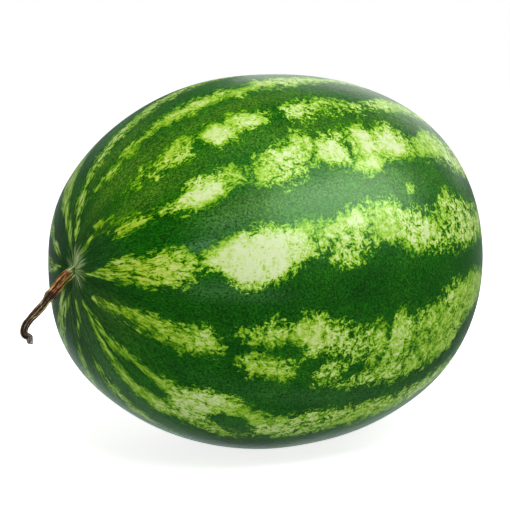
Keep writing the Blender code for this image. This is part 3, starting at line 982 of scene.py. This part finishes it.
# %% Draw the ridged outline
deselect_all()
bpy.ops.mesh.primitive_circle_add(vertices=OUTLINE_POINTS, radius=1.0)
section = bpy.context.object
for vertex in section.data.vertices:
    around = math.atan2(vertex.co.y, vertex.co.x)
    ridge = 0.10 * math.cos(6 * around + 0.9 * math.sin(2 * around))
    ridge += 0.05 * math.cos(11 * around + 1.3) + 0.03 * math.cos(3 * around + 0.6)
    vertex.co *= 1.0 + ridge
print("outline from", round(min(v.co.length for v in section.data.vertices), 3))
print("outline to", round(max(v.co.length for v in section.data.vertices), 3))
make_active(section)
bpy.ops.object.convert(target="CURVE")

# %% Sweep it along the route
deselect_all()
bpy.ops.curve.primitive_bezier_curve_add(location=(0, 0, 0))
stalk = bpy.context.object
stalk.name = "stalk"
line = stalk.data.splines[0]
line.bezier_points.add(len(STALK_ROUTE) - len(line.bezier_points))
for k, (point, (x, y, z, radius)) in enumerate(zip(line.bezier_points, STALK_ROUTE)):
    point.co = (x, y, z)
    point.handle_left_type = point.handle_right_type = "AUTO"
    point.radius = radius
    point.tilt = TWIST * k / (len(STALK_ROUTE) - 1)
stalk.data.resolution_u = STEPS_BETWEEN
stalk.data.bevel_mode = "OBJECT"
stalk.data.bevel_object = section
stalk.data.use_fill_caps = False
make_active(stalk)
bpy.ops.object.convert(target="MESH")
bpy.data.objects.remove(section)
rings = len(stalk.data.vertices) // OUTLINE_POINTS
print("stalk vertices", len(stalk.data.vertices), "rings", rings)

# %% [markdown]
# The sweep gives its vertices ring by ring, so each vertex's place along and round the stalk is
# known from its number. With these the swelling of the knot, the narrow foot, the torn end and
# the furrows are shaped, each as a push away from the ring's middle.

# %% Measure each ring
swept = read_points(stalk.data).reshape(rings, OUTLINE_POINTS, 3)
core = swept.mean(axis=1, keepdims=True)
reach = np.linalg.norm(swept - core, axis=2, keepdims=True)
outwards = (swept - core) / reach
travel = np.concatenate([[0.0], np.cumsum(np.linalg.norm(np.diff(core[:, 0], axis=0), axis=1))])
STALK_LENGTH = travel[-1]
travel = travel[:, None] + np.zeros(OUTLINE_POINTS)
around = np.linspace(0, math.tau, OUTLINE_POINTS, endpoint=False) + np.zeros((rings, 1))
print("stalk length", round(STALK_LENGTH, 4))

# %% Shape the knot, the foot, the tip and the furrows
KNOT = 0.0262  # how far along the stalk the knot is
KNOT_LENGTH = 0.0020
KNOT_PUSH = 0.00060
FOOT_END = 0.0045  # up to here the stalk is narrow, where it goes into the seat
FOOT_PUSH = -0.0006
TIP_LENGTH = 0.0030  # over this much of its end the stalk is torn
FURROW_PUSH = 0.00042

knot = np.exp(-(((travel - KNOT) / KNOT_LENGTH) ** 2)) * (0.8 + 0.5 * np.cos(around - 2.0))
foot = falloff(travel - FOOT_END, FOOT_END)
tip = falloff(STALK_LENGTH - travel, TIP_LENGTH)
furrows = np.array(
    [
        noise.noise(Vector((far * 60.0, 2.4 * math.cos(turn), 2.4 * math.sin(turn))))
        + 0.7 * noise.noise(Vector((far * 140.0, 6.0 * math.cos(turn), 6.0 * math.sin(turn))))
        for far, turn in zip(travel.ravel(), around.ravel())
    ]
).reshape(rings, OUTLINE_POINTS)
push = KNOT_PUSH * knot + FOOT_PUSH * foot + FURROW_PUSH * furrows * (1.0 + 2.5 * tip)
write_points(stalk.data, (swept + outwards * push[:, :, None]).reshape(-1, 3))
print("pushed by", round(float(push.min()), 5), "to", round(float(push.max()), 5))

# %% [markdown]
# The material needs to know where it is on the stalk too: along its fibres, how far along in all,
# and whether it is on a ridge or in a furrow. Then both open ends are filled and the faces are
# turned outwards.

# %% Store what the stalk's material reads, and close its ends
FIBRE_RADIUS = 0.003  # the stalk is unrolled onto a straight rod this thick
rod = [travel, FIBRE_RADIUS * np.cos(around), FIBRE_RADIUS * np.sin(around)]
write_attribute(stalk.data, "fibre", np.stack(rod, axis=2).reshape(-1, 3))
write_attribute(stalk.data, "along", (travel / STALK_LENGTH).ravel())
# The height over the ring's middle, which the material uses to paint highlight on the ridges and
# shade in the furrows.
height = reach[:, :, 0] + push
height = height / height.mean(axis=1, keepdims=True)
write_attribute(stalk.data, "height", height.ravel())
write_attribute(stalk.data, "knot", knot.ravel())
make_active(stalk)
bpy.ops.object.mode_set(mode="EDIT")
bpy.ops.mesh.select_all(action="SELECT")
bpy.ops.mesh.fill_holes(sides=0)
bpy.ops.mesh.select_all(action="SELECT")
bpy.ops.mesh.normals_make_consistent(inside=False)
bpy.ops.object.mode_set(mode="OBJECT")
bpy.ops.object.shade_smooth()
print("stalk faces", len(stalk.data.polygons))

# %% [markdown]
# ## The stalk's look
# A dried stalk is not one brown. Where it leaves the fruit it is still pale green, then comes
# orange-brown with an olive side, then grey-brown, and the torn tip shows pale fibres among black
# ones. Each length has a colour ramp of its own, read by the same tone: ridges are lighter with
# painted highlight and furrows darker with painted shade, with thin strands along the stalk and
# soft blots over them.

# %% Colours of the stalk
PALE_FOOT = [
    (0.25, (0.060, 0.130, 0.020)),
    (0.50, (0.330, 0.400, 0.160)),
    (0.80, (0.620, 0.660, 0.450)),
]
FRESH_BROWN = [
    (0.20, (0.045, 0.011, 0.002)),
    (0.50, (0.230, 0.086, 0.020)),
    (0.90, (0.640, 0.360, 0.150)),
]
OLIVE_SIDE = [(0.20, (0.040, 0.060, 0.004)), (0.80, (0.330, 0.300, 0.050))]
DRY_BROWN = [
    (0.20, (0.018, 0.010, 0.005)),
    (0.56, (0.088, 0.052, 0.023)),
    (0.95, (0.430, 0.320, 0.170)),
]
OLD_BROWN = [
    (0.25, (0.012, 0.006, 0.004)),
    (0.55, (0.066, 0.040, 0.024)),
    (0.95, (0.300, 0.230, 0.150)),
]
TORN_TIP = [(0.42, (0.012, 0.009, 0.007)), (0.58, (0.480, 0.460, 0.430))]
KNOT_COLOUR = (0.030, 0.010, 0.004)
STRAND_BUMP = {"Strength": 0.8, "Distance": 0.0005}
print("colour ramps along the stalk", len([PALE_FOOT, FRESH_BROWN, DRY_BROWN, OLD_BROWN, TORN_TIP]))


# %% The stalk's material
def stalk_material():
    material, tree = new_tree("dried_stalk")
    shader = tree.nodes["Principled BSDF"]
    fibre = attribute(tree, "fibre", "Vector")
    strands = speckle(tree, fibre, 0.0009, detail=4.0, roughness=0.8, stretch=6.0)
    blots = speckle(tree, fibre, 0.0028, detail=3.0, roughness=0.6, stretch=1.6)
    # Through the height, the tone paints highlight onto the ridges and shade into the furrows.
    tone = total(
        tree,
        maths(tree, "MULTIPLY_ADD", strands, 2.6, -1.3),
        maths(tree, "MULTIPLY_ADD", attribute(tree, "height"), 2.8, -2.8),
        maths(tree, "MULTIPLY_ADD", blots, 1.4, -0.36),
    )
    # The blots shift the place along, so that no length ends at a straight line.
    shift = maths(tree, "SUBTRACT", blots, 0.5)
    place = maths(tree, "MULTIPLY_ADD", shift, 0.15, attribute(tree, "along"))
    colour = ramp(tree, tone, FRESH_BROWN)
    colour = blend(tree, fade(tree, place, 0.36, 0.42), colour, ramp(tree, tone, DRY_BROWN))
    colour = blend(tree, fade(tree, place, 0.66, 0.78), colour, ramp(tree, tone, OLD_BROWN))
    torn = fade(tree, place, 0.91, 0.97, 0.0, 0.9)
    colour = blend(tree, torn, colour, ramp(tree, strands, TORN_TIP))
    side = add_node(tree, "ShaderNodeSeparateXYZ", {0: fibre}).outputs["Y"]
    side = fade(tree, side, 0.0014, -0.0014)
    green = maths(tree, "MULTIPLY", side, fade(tree, place, 0.33, 0.20))
    colour = blend(tree, green, colour, ramp(tree, tone, OLIVE_SIDE))
    knotted = maths(tree, "MULTIPLY", attribute(tree, "knot"), 0.85)
    colour = blend(tree, knotted, colour, KNOT_COLOUR)
    colour = blend(tree, fade(tree, place, 0.145, 0.105), colour, ramp(tree, tone, PALE_FOOT))
    tree.links.new(colour, shader.inputs["Base Color"])
    bump = add_node(tree, "ShaderNodeBump", {"Height": strands, **STRAND_BUMP})
    tree.links.new(bump.outputs["Normal"], shader.inputs["Normal"])
    shader.inputs["Roughness"].default_value = 0.75
    shader.inputs["Specular IOR Level"].default_value = 0.12
    return material


stalk.data.materials.append(stalk_material())
print("nodes in the stalk's material", len(stalk.data.materials[0].node_tree.nodes))

# %% [markdown]
# ## Camera
# The camera looks at the middle of the fruit from a little above, with the stalk's end turned
# towards it. A long lens at about a metre keeps the fruit's outline true.

# %% Camera
CAMERA_AZIMUTH = math.radians(-37.0)
CAMERA_ELEVATION = math.radians(7.85)
CAMERA_DISTANCE = 1.10
middle = Vector((0.0, 0.0, AXIS_HEIGHT))
back = Vector(
    (
        math.sin(CAMERA_AZIMUTH) * math.cos(CAMERA_ELEVATION),
        -math.cos(CAMERA_AZIMUTH) * math.cos(CAMERA_ELEVATION),
        math.sin(CAMERA_ELEVATION),
    )
)
lens = bpy.data.cameras.new("camera")
lens.sensor_width = 36.0
lens.lens = 115.2
lens.shift_x = -0.0254
lens.shift_y = 0.0102
camera = bpy.data.objects.new("camera", lens)
camera.location = middle + back * CAMERA_DISTANCE
camera.rotation_mode = "QUATERNION"
camera.rotation_quaternion = (-back).to_track_quat("-Z", "Y")
bpy.context.scene.collection.objects.link(camera)
bpy.context.scene.camera = camera
print("camera at", [round(v, 3) for v in camera.location])

# %% [markdown]
# ## Floor
# The floor is a large pale disc. Towards the camera it also glows a little, so that it comes out
# nearly white. It isn't mirrored in the fruit's wax, and it doesn't shade the fruit from the faint
# light below.

# %% Floor
FLOOR_RADIUS = 8.0
FLOOR_HEIGHT = -0.0002  # a hair below the fruit, so that the two never share a surface
FLOOR_GLOW = 0.82
deselect_all()
bpy.ops.mesh.primitive_circle_add(
    vertices=96, radius=FLOOR_RADIUS, fill_type="NGON", location=(0, 0, FLOOR_HEIGHT)
)
floor = bpy.context.object
floor.name = "floor"
floor_material, floor_tree = new_tree("floor")
floor_shader = floor_tree.nodes["Principled BSDF"]
floor_shader.inputs["Base Color"].default_value = (0.86, 0.86, 0.86, 1.0)
floor_shader.inputs["Roughness"].default_value = 0.8
floor_shader.inputs["Emission Color"].default_value = (1.0, 1.0, 1.0, 1.0)
seen = add_node(floor_tree, "ShaderNodeLightPath").outputs["Is Camera Ray"]
glow = maths(floor_tree, "MULTIPLY", seen, FLOOR_GLOW)
floor_tree.links.new(glow, floor_shader.inputs["Emission Strength"])
floor.data.materials.append(floor_material)
floor.visible_glossy = False
floor.visible_shadow = False
print("floor radius", FLOOR_RADIUS)

# %% [markdown]
# ## Light
# One large soft light above lights the whole fruit. The other lights are only seen as reflections
# in the wax: a wide one in front, to the right and above gives the shoulder its soft gloss, one
# behind on the right gives the top a pale rim, and a faint one behind and below does the same for
# the underside, as a white table would. White surroundings fill the shadows.

# %% Lights
def add_light(name, direction, distance, width, height, power, colour=(1.0, 1.0, 1.0)):
    """A rectangle of light that faces the fruit from the given direction."""
    data = bpy.data.lights.new(name, "AREA")
    data.shape = "RECTANGLE"
    data.size = width
    data.size_y = height
    data.energy = power
    data.color = colour
    lamp = bpy.data.objects.new(name, data)
    toward = Vector(direction).normalized()
    lamp.location = middle + toward * distance
    lamp.rotation_mode = "QUATERNION"
    lamp.rotation_quaternion = (-toward).to_track_quat("-Z", "Y")
    bpy.context.scene.collection.objects.link(lamp)
    return lamp


def from_angles(azimuth, elevation):
    """A direction from an azimuth (0 towards -Y, 90 towards +X) and an elevation, in degrees."""
    turn, rise = math.radians(azimuth), math.radians(elevation)
    return math.sin(turn) * math.cos(rise), -math.cos(turn) * math.cos(rise), math.sin(rise)


top = add_light("top", from_angles(-10, 62), 1.8, 1.6, 1.4, 39.0)
gloss = add_light("gloss", from_angles(20, 36), 1.6, 1.7, 0.8, 73.0)
rim = add_light("rim", from_angles(122, 21), 1.8, 1.5, 0.8, 5.5)
low_rim = add_light("low_rim", from_angles(150, -28), 1.8, 2.0, 0.7, 4.0, (0.78, 1.0, 0.92))
top.visible_glossy = False
for lamp in (gloss, rim, low_rim):
    lamp.visible_diffuse = False
print("lights", [lamp.name for lamp in (top, gloss, rim, low_rim)])

# %% [markdown]
# The surroundings are white where the camera sees them, much dimmer as a light, and dimmer still
# in reflections, so that the wax doesn't turn grey.

# %% Surroundings
AS_LIGHT = 0.28
EXTRA_IF_SEEN = 0.72
LESS_IN_REFLECTIONS = -0.12
world = bpy.data.worlds.new("surroundings")
world.use_nodes = True
air = world.node_tree
rays = add_node(air, "ShaderNodeLightPath").outputs
strength = maths(air, "MULTIPLY_ADD", rays["Is Camera Ray"], EXTRA_IF_SEEN, AS_LIGHT)
strength = maths(air, "MULTIPLY_ADD", rays["Is Glossy Ray"], LESS_IN_REFLECTIONS, strength)
air.links.new(strength, air.nodes["Background"].inputs["Strength"])
air.nodes["Background"].inputs["Color"].default_value = (1.0, 1.0, 1.0, 1.0)
bpy.context.scene.world = world
bpy.context.scene.view_settings.view_transform = "Standard"
print("surroundings as light", AS_LIGHT, "and as seen", round(AS_LIGHT + EXTRA_IF_SEEN, 2))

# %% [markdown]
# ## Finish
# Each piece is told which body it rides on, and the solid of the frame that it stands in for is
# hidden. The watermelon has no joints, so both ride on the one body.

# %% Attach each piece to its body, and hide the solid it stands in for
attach(rind, "root")
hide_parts("fruit")
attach(stalk, "root")
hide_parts("stem")
